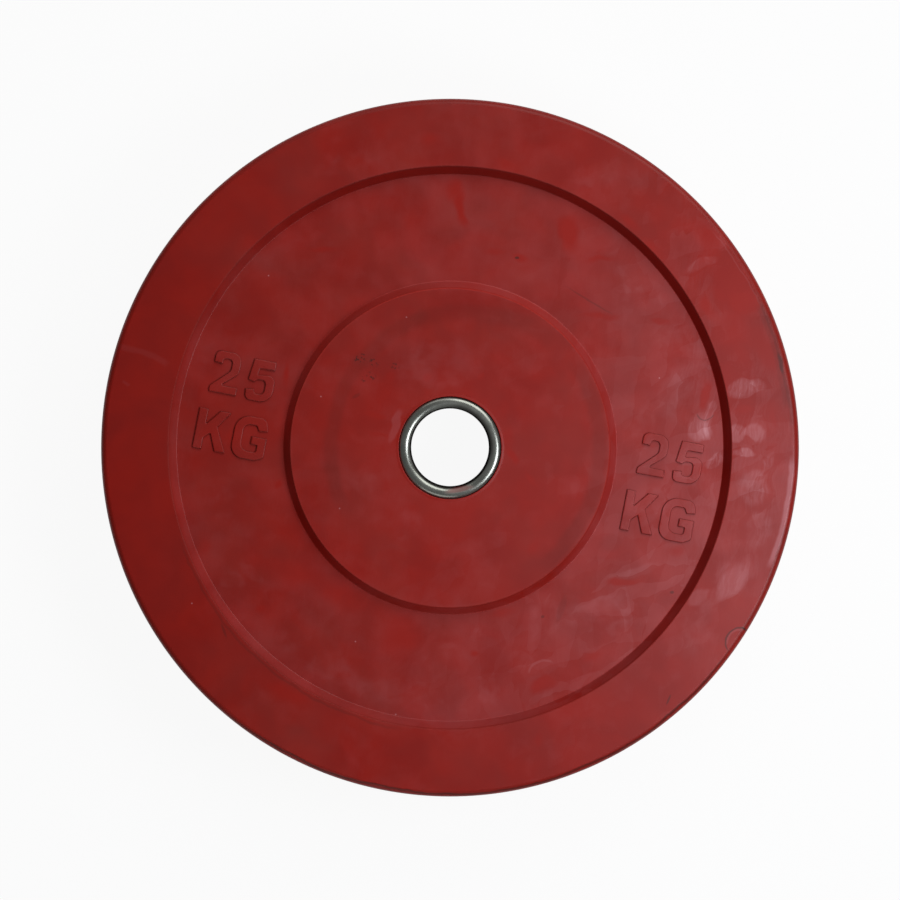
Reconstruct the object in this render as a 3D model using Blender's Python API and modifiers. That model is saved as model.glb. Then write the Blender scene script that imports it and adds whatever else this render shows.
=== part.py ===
"""A solid rubber weight plate moulded round a steel bore sleeve.

The plate lies flat on the floor: its axis is Z, and the face that it rests on is at Z = 0.
Both faces are alike. All sizes are in metres.
"""

import math

import bmesh
import bpy

# Rubber moulding
PLATE_RADIUS = 0.225
RIM_THICKNESS = 0.085
RIM_WIDTH = 0.0439
SHOULDER_FILLET = 0.0042
WEB_RECESS = 0.008
HUB_RADIUS = 0.1028
HUB_RECESS = 0.001
WALL_RUN = 0.0046
STEP_FILLET = 0.001
BEAD_WIDTH = 0.0022
BEAD_HEIGHT = 0.0004

# Steel sleeve with a rolled lip at each end
BORE_RADIUS = 0.02575
TUBE_WALL = 0.0045
LIP_WIDTH = 0.0070
LIP_DOME = 0.0024
LIP_SKIRT = 0.0035
LIP_BELOW_RIM = 0.0004

# Perforated anchor discs welded round the sleeve
ANCHOR_RADIUS = 0.062
ANCHOR_THICKNESS = 0.003
ANCHOR_SPACING = 0.030
ANCHOR_WELD = 0.003
ANCHOR_HOLES = 8
ANCHOR_HOLE_RADIUS = 0.006
ANCHOR_HOLE_CIRCLE = 0.048

# Gap between pieces that touch on the real plate
CLEARANCE = 0.0003

BODY_SEGMENTS = 80
STEEL_SEGMENTS = 64
HOLE_SEGMENTS = 12
SHOULDER_STEPS = 3
STEP_STEPS = 2
DOME_STEPS = 8

MIDDLE = RIM_THICKNESS / 2
TUBE_RADIUS = BORE_RADIUS + TUBE_WALL
LIP_RADIUS = BORE_RADIUS + LIP_WIDTH
LIP_TOP = RIM_THICKNESS / 2 - LIP_BELOW_RIM
LIP_UNDERSIDE = LIP_TOP - LIP_DOME - LIP_SKIRT


def clear_scene():
    for old in list(bpy.data.objects):
        bpy.data.objects.remove(old, do_unlink=True)


def new_collection(name):
    made = bpy.data.collections.new(name)
    bpy.context.scene.collection.children.link(made)
    return made


def new_material(name, colour, roughness, metallic):
    made = bpy.data.materials.new(name)
    made.use_nodes = True
    shader = made.node_tree.nodes["Principled BSDF"]
    shader.inputs["Base Color"].default_value = (*colour, 1.0)
    shader.inputs["Roughness"].default_value = roughness
    shader.inputs["Metallic"].default_value = metallic
    return made


def rounded(corners):
    """The outline through the corners (radius, height, fillet, steps), with each corner rounded by its fillet."""
    outline = []
    for index, (radius, height, fillet, steps) in enumerate(corners):
        if not fillet:
            outline.append((radius, height))
            continue
        before = corners[index - 1]
        after = corners[(index + 1) % len(corners)]
        entry = (before[0] - radius, before[1] - height)
        leave = (after[0] - radius, after[1] - height)
        entry_length, leave_length = math.hypot(*entry), math.hypot(*leave)
        entry = (entry[0] / entry_length, entry[1] / entry_length)
        leave = (leave[0] / leave_length, leave[1] / leave_length)
        half_angle = math.acos(entry[0] * leave[0] + entry[1] * leave[1]) / 2
        reach = min(fillet / math.tan(half_angle), 0.45 * entry_length, 0.45 * leave_length)
        arc_radius = reach * math.tan(half_angle)
        middle = (entry[0] + leave[0], entry[1] + leave[1])
        to_centre = arc_radius / math.sin(half_angle) / math.hypot(*middle)
        centre = (radius + middle[0] * to_centre, height + middle[1] * to_centre)
        start = math.atan2(height + entry[1] * reach - centre[1], radius + entry[0] * reach - centre[0])
        end = math.atan2(height + leave[1] * reach - centre[1], radius + leave[0] * reach - centre[0])
        sweep = (end - start + math.pi) % math.tau - math.pi
        for step in range(steps + 1):
            angle = start + sweep * step / steps
            outline.append((centre[0] + arc_radius * math.cos(angle), centre[1] + arc_radius * math.sin(angle)))
    return outline


def both_faces(upper):
    """The closed outline of a piece that is alike on both sides of the plate's middle plane.

    upper holds (radius, height above the middle plane), from the bore outwards.
    """
    lower = [(radius, -height) for radius, height in reversed(upper)]
    return [(radius, MIDDLE + height) for radius, height in upper + lower]


def turned(name, outline, segments, material, collection):
    """A body of revolution: the closed outline turned round Z by a Screw modifier."""
    mesh = bpy.data.meshes.new(name)
    edges = [(index, (index + 1) % len(outline)) for index in range(len(outline))]
    mesh.from_pydata([(radius, 0.0, height) for radius, height in outline], edges, [])
    made = bpy.data.objects.new(name, mesh)
    if material:
        mesh.materials.append(material)
    collection.objects.link(made)
    screw = made.modifiers.new("Turn", "SCREW")
    screw.axis = "Z"
    screw.angle = math.tau
    screw.steps = screw.render_steps = segments
    screw.use_merge_vertices = True
    screw.merge_threshold = 0.00001
    screw.use_smooth_shade = True
    return made


def as_cutter(cutter):
    cutter.hide_render = True
    cutter.display_type = "WIRE"
    return cutter


def cut(target, cutter):
    boolean = target.modifiers.new("Cut " + cutter.name, "BOOLEAN")
    boolean.operation = "DIFFERENCE"
    boolean.solver = "EXACT"
    boolean.object = cutter


def rubber_outline():
    rim_face = RIM_THICKNESS / 2
    web_face = rim_face - WEB_RECESS
    hub_face = rim_face - HUB_RECESS
    rim_edge = PLATE_RADIUS - RIM_WIDTH
    seat_radius = LIP_RADIUS + CLEARANCE
    seat_floor = LIP_UNDERSIDE - CLEARANCE
    lower_shoulder = (PLATE_RADIUS, -rim_face, 0, 0)
    corners = [
        (TUBE_RADIUS + CLEARANCE, seat_floor, 0, 0),
        (seat_radius, seat_floor, 0, 0),
        (seat_radius, hub_face + BEAD_HEIGHT, 0, 0),
        (seat_radius + BEAD_WIDTH / 2, hub_face + BEAD_HEIGHT, 0, 0),
        (seat_radius + BEAD_WIDTH, hub_face, 0, 0),
        (HUB_RADIUS, hub_face, STEP_FILLET, STEP_STEPS),
        (HUB_RADIUS + WALL_RUN, web_face, STEP_FILLET, STEP_STEPS),
        (rim_edge - WALL_RUN, web_face, STEP_FILLET, STEP_STEPS),
        (rim_edge, rim_face, STEP_FILLET, STEP_STEPS),
        (PLATE_RADIUS, rim_face, SHOULDER_FILLET, SHOULDER_STEPS),
        lower_shoulder,
    ]
    return both_faces(rounded(corners)[:-1])


def sleeve_outline():
    """A tube whose ends are rolled outwards into domed lips, each with a short skirt that hooks over the rubber."""
    crest = BORE_RADIUS + LIP_WIDTH / 2
    upper = []
    for step in range(DOME_STEPS + 1):
        angle = math.pi * (1 - step / DOME_STEPS)
        upper.append(
            (crest + LIP_WIDTH / 2 * math.cos(angle), LIP_TOP - LIP_DOME + LIP_DOME * math.sin(angle))
        )
    upper.append((LIP_RADIUS, LIP_UNDERSIDE))
    upper.append((TUBE_RADIUS, LIP_UNDERSIDE))
    return both_faces(upper)


def anchor_outline(middle, inner_radius, grow):
    """A flat ring, its inner edge built up on both sides by a sloping weld, and all of it grown by grow."""
    half = ANCHOR_THICKNESS / 2 + grow
    weld_edge = TUBE_RADIUS + CLEARANCE + ANCHOR_WELD + grow
    weld_height = weld_edge - inner_radius
    outer_radius = ANCHOR_RADIUS + grow
    return [
        (inner_radius, middle + half + weld_height),
        (weld_edge, middle + half),
        (outer_radius, middle + half),
        (outer_radius, middle - half),
        (weld_edge, middle - half),
        (inner_radius, middle - half - weld_height),
    ]


def hole_pins(name, middle, radius, collection):
    """The ring of round pins that makes the holes of a disc or, a little thinner, leaves the rubber's pillars."""
    mesh = bpy.data.meshes.new(name)
    shape = bmesh.new()
    length = 2 * ANCHOR_THICKNESS + 4 * ANCHOR_WELD
    for index in range(ANCHOR_HOLES):
        angle = math.tau * index / ANCHOR_HOLES
        pin = bmesh.ops.create_cone(
            shape, cap_ends=True, segments=HOLE_SEGMENTS, radius1=radius, radius2=radius, depth=length
        )
        place = (ANCHOR_HOLE_CIRCLE * math.cos(angle), ANCHOR_HOLE_CIRCLE * math.sin(angle), middle)
        bmesh.ops.translate(shape, verts=pin["verts"], vec=place)
    shape.to_mesh(mesh)
    shape.free()
    made = bpy.data.objects.new(name, mesh)
    collection.objects.link(made)
    return as_cutter(made)


def anchor_disc(name, middle, material, parts, cutters):
    made = turned(
        name, anchor_outline(middle, TUBE_RADIUS + CLEARANCE, 0.0), STEEL_SEGMENTS, material, parts
    )
    cut(made, hole_pins(name + "_holes", middle, ANCHOR_HOLE_RADIUS, cutters))
    return made


def anchor_pocket(name, middle, cutters):
    """The space that a disc takes in the rubber: the disc with its clearance, less the pillars through its holes."""
    outline = anchor_outline(middle, TUBE_RADIUS - TUBE_WALL / 2, CLEARANCE)
    made = as_cutter(turned(name, outline, STEEL_SEGMENTS, None, cutters))
    cut(made, hole_pins(name + "_pillars", middle, ANCHOR_HOLE_RADIUS - CLEARANCE, cutters))
    return made


def build():
    clear_scene()
    parts = new_collection("weight_plate")
    cutters = new_collection("cutters")
    red_rubber = new_material("red_rubber", (0.24, 0.022, 0.018), 0.6, 0.0)
    turned_steel = new_material("turned_steel", (0.50, 0.50, 0.47), 0.3, 1.0)
    anchor_steel = new_material("anchor_steel", (0.30, 0.30, 0.30), 0.5, 1.0)

    body = turned("rubber_body", rubber_outline(), BODY_SEGMENTS, red_rubber, parts)
    turned("bore_sleeve", sleeve_outline(), STEEL_SEGMENTS, turned_steel, parts)
    for side, offset in (("upper", ANCHOR_SPACING / 2), ("lower", -ANCHOR_SPACING / 2)):
        middle = MIDDLE + offset
        anchor_disc("anchor_disc_" + side, middle, anchor_steel, parts, cutters)
        cut(body, anchor_pocket("anchor_pocket_" + side, middle, cutters))


build()
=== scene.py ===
# %% [markdown]
# # A solid rubber weight plate
#
# The plate lies flat, with its bore upright, and the camera looks down on it. It has three kinds of
# thing to show: one big red rubber moulding, a steel sleeve that lines its bore, and the raised
# marks that stand on the recessed web. The steel discs that anchor the sleeve are inside the rubber.
#
# The imported model comes in first. It is the fixed frame that every new piece is fitted to, so its box
# is kept now.

# %% The imported model as the frame
import math

import bmesh
import bpy
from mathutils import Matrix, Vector


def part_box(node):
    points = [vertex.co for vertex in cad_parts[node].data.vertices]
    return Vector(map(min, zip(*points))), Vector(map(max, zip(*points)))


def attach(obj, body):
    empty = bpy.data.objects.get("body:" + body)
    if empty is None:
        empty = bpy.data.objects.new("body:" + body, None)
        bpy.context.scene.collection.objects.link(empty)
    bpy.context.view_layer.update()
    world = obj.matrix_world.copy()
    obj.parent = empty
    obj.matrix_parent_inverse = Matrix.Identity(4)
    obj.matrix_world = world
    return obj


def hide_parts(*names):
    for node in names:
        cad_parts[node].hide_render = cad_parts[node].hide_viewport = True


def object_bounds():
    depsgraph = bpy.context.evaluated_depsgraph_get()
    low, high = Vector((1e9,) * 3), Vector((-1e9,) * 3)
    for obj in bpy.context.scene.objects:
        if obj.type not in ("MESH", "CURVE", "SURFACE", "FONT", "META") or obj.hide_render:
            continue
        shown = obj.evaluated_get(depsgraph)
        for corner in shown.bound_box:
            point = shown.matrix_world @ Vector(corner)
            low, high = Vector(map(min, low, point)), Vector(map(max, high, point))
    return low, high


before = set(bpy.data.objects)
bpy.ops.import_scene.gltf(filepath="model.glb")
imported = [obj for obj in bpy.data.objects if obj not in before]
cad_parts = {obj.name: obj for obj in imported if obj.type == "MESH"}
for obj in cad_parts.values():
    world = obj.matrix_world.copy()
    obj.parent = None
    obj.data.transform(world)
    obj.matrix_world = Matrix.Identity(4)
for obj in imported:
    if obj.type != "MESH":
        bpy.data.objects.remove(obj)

cad_low, cad_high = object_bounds()
PLATE_RADIUS = cad_high.x
THICKNESS = cad_high.z
MIDDLE = THICKNESS / 2
print(f"plate {2000 * PLATE_RADIUS:.0f} mm across and {1000 * THICKNESS:.0f} mm thick")

# %% [markdown]
# ## Working by hand, in code
#
# Every piece is modelled as it would be by hand: add a primitive, go into edit mode, pick some
# faces or edges, and run an operator on them. In code the only hard part is the picking. On a
# turned piece each edge and face can be told by how far it is from the axis and how high it is, so
# one helper picks by that pair of numbers. The plate is alike on both sides of its middle plane,
# so the height is measured from that plane, and one pick takes both sides.

# %% Helpers that pick, open and close a piece
MILLIMETRE = 0.001
NEAR = 0.025 * MILLIMETRE
SAME_PLACE = 0.001 * MILLIMETRE


def select_alone(piece):
    bpy.ops.object.select_all(action="DESELECT")
    bpy.context.view_layer.objects.active = piece
    piece.select_set(True)


def start_piece(name):
    """The primitive that was just added, named, with its place moved into its mesh."""
    piece = bpy.context.object
    piece.name = piece.data.name = name
    bpy.ops.object.transform_apply(location=True, rotation=True, scale=True)
    bpy.ops.object.mode_set(mode="EDIT")
    return piece


def middle_of(corners):
    return sum((corner.co for corner in corners), Vector()) / len(corners)


def pick(piece, kind, test):
    """Selects the vertices, edges or faces whose middle and every corner pass the test."""
    bpy.ops.mesh.select_mode(type=kind)
    bpy.ops.mesh.select_all(action="DESELECT")
    shape = bmesh.from_edit_mesh(piece.data)
    elements = {"VERT": shape.verts, "EDGE": shape.edges, "FACE": shape.faces}[kind]
    for element in elements:
        corners = [element] if kind == "VERT" else element.verts
        places = [corner.co for corner in corners] + [middle_of(corners)]
        if all(test(math.hypot(*place.xy), abs(place.z - MIDDLE)) for place in places):
            element.select_set(True)
    shape.select_flush_mode()
    bmesh.update_edit_mesh(piece.data)


def ring_at(radius, height):
    """A test for the two rings, above and below, with this radius and height from the middle."""
    return lambda r, h: abs(r - radius) < NEAR and abs(h - height) < NEAR


def finish_piece(piece):
    """Closes the seams, turns every face outwards and leaves edit mode."""
    bpy.ops.mesh.select_all(action="SELECT")
    bpy.ops.mesh.remove_doubles(threshold=SAME_PLACE)
    bpy.ops.mesh.normals_make_consistent(inside=False)
    bpy.ops.object.mode_set(mode="OBJECT")
    print(f"{piece.name}: {len(piece.data.polygons)} faces")


# %% [markdown]
# ## The rubber moulding
#
# The real plate is pressed in a two-part mould. Each face has a flat rim, a wall down to a
# recessed web, a wall up to the hub, and a thin bead round the steel lip. A turned profile would
# do, but a disc that is inset again and again teaches more: both end faces of one cylinder stay
# selected, and each inset draws the next ring, level or sunk, on both sides at once. The driving
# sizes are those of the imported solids.

# %% The two faces, stepped inwards from the rim
RIM_WIDTH = 0.0439
WALL_RUN = 0.0046
WEB_RECESS = 0.008
HUB_RECESS = 0.001
HUB_RADIUS = 0.1028
BEAD_WIDTH = 0.0022
BEAD_HEIGHT = 0.0004
RIDGE = 0.0003
ROUND_STEPS = 288

_, sleeve_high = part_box("bore_sleeve")
LIP_RADIUS = sleeve_high.x
LIP_TOP = sleeve_high.z
LIP_DEPTH = 0.0059
CLEARANCE = 0.0003
TUBE_RADIUS = 0.03025

RIM_EDGE = PLATE_RADIUS - RIM_WIDTH
SEAT_RADIUS = LIP_RADIUS + CLEARANCE
SEAT_DEPTH = LIP_DEPTH + CLEARANCE - (HUB_RECESS - BEAD_HEIGHT) + (THICKNESS - LIP_TOP)
TREAD_RADIUS = PLATE_RADIUS - RIDGE

bpy.ops.object.select_all(action="DESELECT")
bpy.ops.mesh.primitive_cylinder_add(
    vertices=ROUND_STEPS, radius=TREAD_RADIUS, depth=THICKNESS, location=(0, 0, MIDDLE)
)
rubber = start_piece("rubber_moulding")
pick(rubber, "FACE", lambda r, h: abs(h - MIDDLE) < NEAR)
for run, rise in (
    (TREAD_RADIUS - RIM_EDGE, 0.0),
    (WALL_RUN, -WEB_RECESS),
    (RIM_EDGE - HUB_RADIUS - 2 * WALL_RUN, 0.0),
    (WALL_RUN, WEB_RECESS - HUB_RECESS),
    (HUB_RADIUS - SEAT_RADIUS - BEAD_WIDTH, 0.0),
    (BEAD_WIDTH / 2, BEAD_HEIGHT),
    (BEAD_WIDTH / 2, 0.0),
):
    bpy.ops.mesh.inset(thickness=run, depth=rise)
print(f"rim edge at {1000 * RIM_EDGE:.1f} mm, web {1000 * WEB_RECESS:.0f} mm down")

# %% [markdown]
# The steel lip sits in a seat round the bore. The seat's wall goes straight down, which an inset
# can't do, so the end faces are extruded along their normals instead. The last ring is the floor of
# the seat, and a bridge between the two small faces that are left opens the bore for the tube.

# %% The lip's seat and the bore
def sink(depth):
    """Extrudes the selected end faces straight into the piece."""
    bpy.ops.mesh.extrude_region()
    bpy.ops.transform.shrink_fatten(value=-depth)


sink(SEAT_DEPTH)
bpy.ops.mesh.inset(thickness=SEAT_RADIUS - TUBE_RADIUS - CLEARANCE, depth=0.0)
bpy.ops.mesh.bridge_edge_loops()
print(f"seat {2000 * SEAT_RADIUS:.1f} mm across and {1000 * SEAT_DEPTH:.1f} mm deep")

# %% [markdown]
# Rubber never leaves a mould with a knife edge. The outer shoulders have a round of about 4 mm,
# and the steps of the face a small one. Bevel works on the picked edges, so each ring is picked by
# its radius and its height from the middle plane.

# %% Rounded shoulders and steps
SHOULDER = 0.0042
STEP_ROUND = 0.0004
BEAD_ROUND = 0.00025


def round_rings(rings, width, steps):
    """Bevels the rings at these radii and heights, above and below the middle plane."""
    for radius, height in rings:
        pick(rubber, "EDGE", ring_at(radius, height))
        bpy.ops.mesh.bevel(offset=width, segments=steps, profile=0.5, affect="EDGES")


RIM_FACE = MIDDLE
WEB_FACE = MIDDLE - WEB_RECESS
HUB_FACE = MIDDLE - HUB_RECESS
round_rings([(TREAD_RADIUS, RIM_FACE)], SHOULDER, 8)
round_rings(
    [
        (RIM_EDGE, RIM_FACE),
        (RIM_EDGE - WALL_RUN, WEB_FACE),
        (HUB_RADIUS + WALL_RUN, WEB_FACE),
        (HUB_RADIUS, HUB_FACE),
    ],
    STEP_ROUND,
    4,
)
round_rings([(SEAT_RADIUS, HUB_FACE + BEAD_HEIGHT)], BEAD_ROUND, 3)
print(f"shoulders rounded by {1000 * SHOULDER:.1f} mm, steps by {1000 * STEP_ROUND:.1f} mm")

# %% [markdown]
# The two halves of the mould meet half way up the tread and leave a fine ridge, the parting line.
# Three bisects cut the tread there, and the middle ring is scaled out to the plate's full radius.

# %% The parting line round the tread
RIDGE_HALF_WIDTH = 0.0007

for height in (MIDDLE - RIDGE_HALF_WIDTH, MIDDLE, MIDDLE + RIDGE_HALF_WIDTH):
    pick(rubber, "FACE", lambda r, h: abs(r - TREAD_RADIUS) < NEAR)
    bpy.ops.mesh.bisect(plane_co=(0, 0, height), plane_no=(0, 0, 1))
pick(rubber, "VERT", ring_at(TREAD_RADIUS, 0.0))
swell = PLATE_RADIUS / TREAD_RADIUS
bpy.ops.transform.resize(value=(swell, swell, 1), center_override=(0, 0, MIDDLE))
finish_piece(rubber)

# %% [markdown]
# Inside, the rubber is keyed through two perforated steel discs, which stay as they are in the
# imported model. The moulding gets their pockets. Each pocket is a copy of its disc, fattened by the
# gap, that a Boolean takes away; the discs' holes leave pillars of rubber by themselves.

# %% Pockets for the anchor discs
def cut_pocket(disc_name):
    """Takes a disc, fattened by the gap, out of the rubber."""
    pocket = bpy.data.objects.new("pocket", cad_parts[disc_name].data.copy())
    bpy.context.collection.objects.link(pocket)
    select_alone(pocket)
    bpy.ops.object.mode_set(mode="EDIT")
    bpy.ops.mesh.select_all(action="SELECT")
    bpy.ops.mesh.remove_doubles(threshold=SAME_PLACE)
    bpy.ops.transform.shrink_fatten(value=CLEARANCE, use_even_offset=True)
    bpy.ops.object.mode_set(mode="OBJECT")
    bpy.context.view_layer.objects.active = rubber
    cutting = rubber.modifiers.new("Pocket", "BOOLEAN")
    cutting.operation = "DIFFERENCE"
    cutting.object = pocket
    bpy.ops.object.modifier_apply(modifier="Pocket")
    bpy.data.objects.remove(pocket)


ANCHOR_DISCS = ("anchor_disc_lower", "anchor_disc_upper")
for disc_name in ANCHOR_DISCS:
    cut_pocket(disc_name)
print(f"{rubber.name}: {len(rubber.data.polygons)} faces with its pockets")


# %% [markdown]
# A wide flat face next to a narrow round shades badly when both are simply smoothed, because each
# corner's normal is an average. Weighted Normal lets the larger face win, so the flats stay flat
# and the rounds carry the whole turn.

# %% Smooth shading that keeps the flats flat
def shade(piece, sharp_degrees):
    """Smooths the piece, apart from edges that turn by more than this angle."""
    select_alone(piece)
    bpy.ops.object.shade_smooth_by_angle(angle=math.radians(sharp_degrees))
    weighting = piece.modifiers.new("Weighting", "WEIGHTED_NORMAL")
    weighting.keep_sharp = True
    bpy.ops.object.modifier_apply(modifier="Weighting")


shade(rubber, 35)
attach(rubber, "root")
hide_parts("rubber_body")
print(f"{rubber.name} stands for rubber_body")

# %% [markdown]
# ## The steel sleeve
#
# The bore is lined by a steel tube. Its ends are rolled over into smooth domed lips that take the
# knocks of the bar. Half of the profile is drawn: a circle cut in half and pressed flat for the
# dome, its ends extruded down for the skirt and the tube. A mirrored copy makes the other end, and
# a full spin turns the profile into the sleeve.

# %% The sleeve's profile, spun round the bore
BORE_RADIUS = 0.02575
LIP_DOME = 0.0024
DOME_STEPS = 20
SPIN_STEPS = 192

LIP_WIDTH = LIP_RADIUS - BORE_RADIUS
CREST = BORE_RADIUS + LIP_WIDTH / 2
SPRING = LIP_TOP - LIP_DOME
SKIRT_END = LIP_TOP - LIP_DEPTH


def draw_on(radius, *moves):
    """Extrudes the profile's open end at this radius by each move (outwards, up) in turn."""
    pick(sleeve, "VERT", lambda r, h: abs(r - radius) < NEAR)
    for outwards, up in moves:
        bpy.ops.mesh.extrude_region()
        bpy.ops.transform.translate(value=(outwards, 0, up))


bpy.ops.object.select_all(action="DESELECT")
bpy.ops.mesh.primitive_circle_add(
    vertices=2 * DOME_STEPS,
    radius=LIP_WIDTH / 2,
    location=(CREST, 0, SPRING),
    rotation=(math.pi / 2, 0, 0),
)
sleeve = start_piece("steel_sleeve")
bpy.ops.mesh.bisect(plane_co=(0, 0, SPRING), plane_no=(0, 0, 1), clear_inner=True)
bpy.ops.mesh.select_all(action="SELECT")
bpy.ops.transform.resize(value=(1, 1, 2 * LIP_DOME / LIP_WIDTH), center_override=(CREST, 0, SPRING))
draw_on(LIP_RADIUS, (0, SKIRT_END - SPRING), (TUBE_RADIUS - LIP_RADIUS, 0), (0, MIDDLE - SKIRT_END))
draw_on(BORE_RADIUS, (0, MIDDLE - SPRING))
bpy.ops.mesh.select_all(action="SELECT")
bpy.ops.mesh.duplicate()
bpy.ops.transform.resize(value=(1, 1, -1), center_override=(0, 0, MIDDLE))
bpy.ops.mesh.select_all(action="SELECT")
bpy.ops.mesh.remove_doubles(threshold=SAME_PLACE)
bpy.ops.mesh.spin(steps=SPIN_STEPS, angle=math.tau, center=(0, 0, 0), axis=(0, 0, 1))
finish_piece(sleeve)
shade(sleeve, 35)
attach(sleeve, "root")
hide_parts("bore_sleeve")
print(f"{sleeve.name} stands for bore_sleeve")

# %% [markdown]
# ## The raised marks
#
# The weight stands on the web twice, in plain block letters cut into the mould. Each letter is a
# flat curve: a ring of corners in millimetres, each with its own rounding. Extrude gives it height,
# Bevel the soft edge that moulded rubber has, and a negative offset keeps the foot of the letter on
# its outline. The corners are read off the photograph at the letters' real size.

# %% The letters' outlines, in millimetres: (right, up, rounding) from the middle of the mark
TWO = [
    (-18.5, 5.7, 0.8), (-0.5, 5.7, 0.6), (-0.5, 10.9, 0.5), (-11.3, 10.9, 0.6), (-1, 20, 5),
    (-1, 33, 9), (-18.2, 33, 9), (-18.2, 25, 0.5), (-12.7, 24.4, 0.5), (-12.5, 28.3, 2.8),
    (-6.6, 28.3, 2.8), (-6.6, 21, 4), (-18.5, 9.5, 3),
]  # fmt: skip
FIVE = [
    (7, 32, 0.8), (21.5, 32, 0.8), (21.5, 26.2, 0.5), (11.6, 26.2, 0.5), (11, 21.9, 0.5),
    (22.7, 23.6, 8.5), (22.7, 5, 8.5), (5.2, 5, 8), (4.6, 12, 0.5), (10.3, 12.6, 0.5),
    (10.8, 9.8, 2.2), (16.8, 9.8, 3.2), (16.8, 19, 3.2), (11.5, 18.9, 1.5), (9.4, 17, 0.8),
    (5.2, 17.9, 0.6),
]  # fmt: skip
LETTER_K = [
    (-22, -32, 0.6), (-16, -32, 0.6), (-16, -24.6, 0.4), (-12.2, -20.8, 0.4), (-7.5, -32, 0.6),
    (-0.3, -32, 0.6), (-8.2, -16.2, 0.4), (-0.6, -5.5, 0.6), (-8, -5.5, 0.6), (-16, -15.6, 0.4),
    (-16, -5.5, 0.6), (-22, -5.5, 0.6),
]  # fmt: skip
LETTER_G = [
    (24.4, -13.2, 0.6), (18.6, -14, 0.6), (16.6, -10.5, 1.6), (8.6, -10.5, 6.5), (8.6, -27.6, 6.5),
    (18.9, -27.6, 1.5), (18.9, -23, 0.3), (14.5, -23, 0.5), (14.5, -17.6, 0.5), (24.6, -17.6, 0.5),
    (24.6, -30.2, 2.5), (19, -33, 4), (2.6, -33, 10.5), (2.6, -5, 10.5), (22.6, -5, 7),
]  # fmt: skip
OUTLINES = (TWO, FIVE, LETTER_K, LETTER_G)
print(f"{sum(len(outline) for outline in OUTLINES)} corners in {len(OUTLINES)} outlines")


# %% [markdown]
# A corner is rounded by an arc that touches both of its sides. The distance from the corner to each
# touching point follows from the angle between the sides, and is kept under half of each side.

# %% Rounded outlines
ARC_STEP = math.radians(9)
SIDE_SHARE = 0.49


def rounded(corners):
    """The points of an outline whose corners are rounded."""
    outline = []
    for index, (x, y, rounding) in enumerate(corners):
        before, after = corners[index - 1], corners[(index + 1) % len(corners)]
        back = (before[0] - x, before[1] - y)
        on = (after[0] - x, after[1] - y)
        back_length, on_length = math.hypot(*back), math.hypot(*on)
        back = (back[0] / back_length, back[1] / back_length)
        on = (on[0] / on_length, on[1] / on_length)
        half = math.acos(back[0] * on[0] + back[1] * on[1]) / 2
        reach = min(rounding / math.tan(half), SIDE_SHARE * back_length, SIDE_SHARE * on_length)
        to_centre = reach / math.cos(half)
        inwards = (back[0] + on[0], back[1] + on[1])
        inwards_length = math.hypot(*inwards)
        centre_x = x + inwards[0] / inwards_length * to_centre
        centre_y = y + inwards[1] / inwards_length * to_centre
        start = math.atan2(y + back[1] * reach - centre_y, x + back[0] * reach - centre_x)
        end = math.atan2(y + on[1] * reach - centre_y, x + on[0] * reach - centre_x)
        sweep = (end - start + math.pi) % math.tau - math.pi
        arc_radius = reach * math.tan(half)
        steps = max(2, math.ceil(abs(sweep) / ARC_STEP))
        for step in range(steps + 1):
            angle = start + sweep * step / steps
            across, along = arc_radius * math.cos(angle), arc_radius * math.sin(angle)
            outline.append((centre_x + across, centre_y + along))
    return outline


print(f"the 2 has {len(TWO)} corners and {len(rounded(TWO))} points once they are rounded")


# %% [markdown]
# The marks on the upper face are tilted clockwise. Those on the lower face are the same, turned over
# about the Y axis, which runs up the picture, so that they read the right way round from below as
# well. Each is placed by its height over the middle plane first, and then lifted with that plane.

# %% The four marks in their places
MARK_TILT = math.radians(-11)
MARK_RISE = 0.0013
MARK_SUNK = 0.0014
MARK_ROUND = 0.0007
RIGHT_MARK = (0.1369, -0.0254)
LEFT_MARK = (-0.1387, 0.0276)


def raised_mark(name, place, turned_over):
    """The letters as one piece, on the upper face or turned over to the lower one."""
    curve = bpy.data.curves.new(name, "CURVE")
    curve.dimensions = "2D"
    curve.fill_mode = "BOTH"
    curve.extrude = (MARK_RISE + MARK_SUNK) / 2 - MARK_ROUND
    curve.bevel_depth = MARK_ROUND
    curve.bevel_resolution = 3
    curve.offset = -MARK_ROUND
    for corners in OUTLINES:
        outline = rounded(corners)
        spline = curve.splines.new("POLY")
        spline.points.add(len(outline) - 1)
        for point, (x, y) in zip(spline.points, outline):
            point.co = (x * MILLIMETRE, y * MILLIMETRE, 0, 1)
        spline.use_cyclic_u = True
    mark = bpy.data.objects.new(name, curve)
    bpy.context.collection.objects.link(mark)
    select_alone(mark)
    bpy.ops.object.convert(target="MESH")
    mark = bpy.context.object
    height = WEB_FACE + (MARK_RISE - MARK_SUNK) / 2
    mark.rotation_euler.z = MARK_TILT
    mark.location = (*place, height)
    bpy.ops.object.transform_apply(location=True, rotation=True, scale=True)
    if turned_over:
        mark.rotation_euler.y = math.pi
    mark.location.z = MIDDLE
    bpy.ops.object.transform_apply(location=True, rotation=True, scale=True)
    bpy.ops.object.mode_set(mode="EDIT")
    finish_piece(mark)
    shade(mark, 40)
    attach(mark, "root")
    return mark


marks = [
    raised_mark("weight_mark_upper_right", RIGHT_MARK, False),
    raised_mark("weight_mark_upper_left", LEFT_MARK, False),
    raised_mark("weight_mark_lower_right", RIGHT_MARK, True),
    raised_mark("weight_mark_lower_left", LEFT_MARK, True),
]
print(f"{len(marks)} marks stand {1000 * MARK_RISE:.1f} mm proud of the web")

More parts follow.
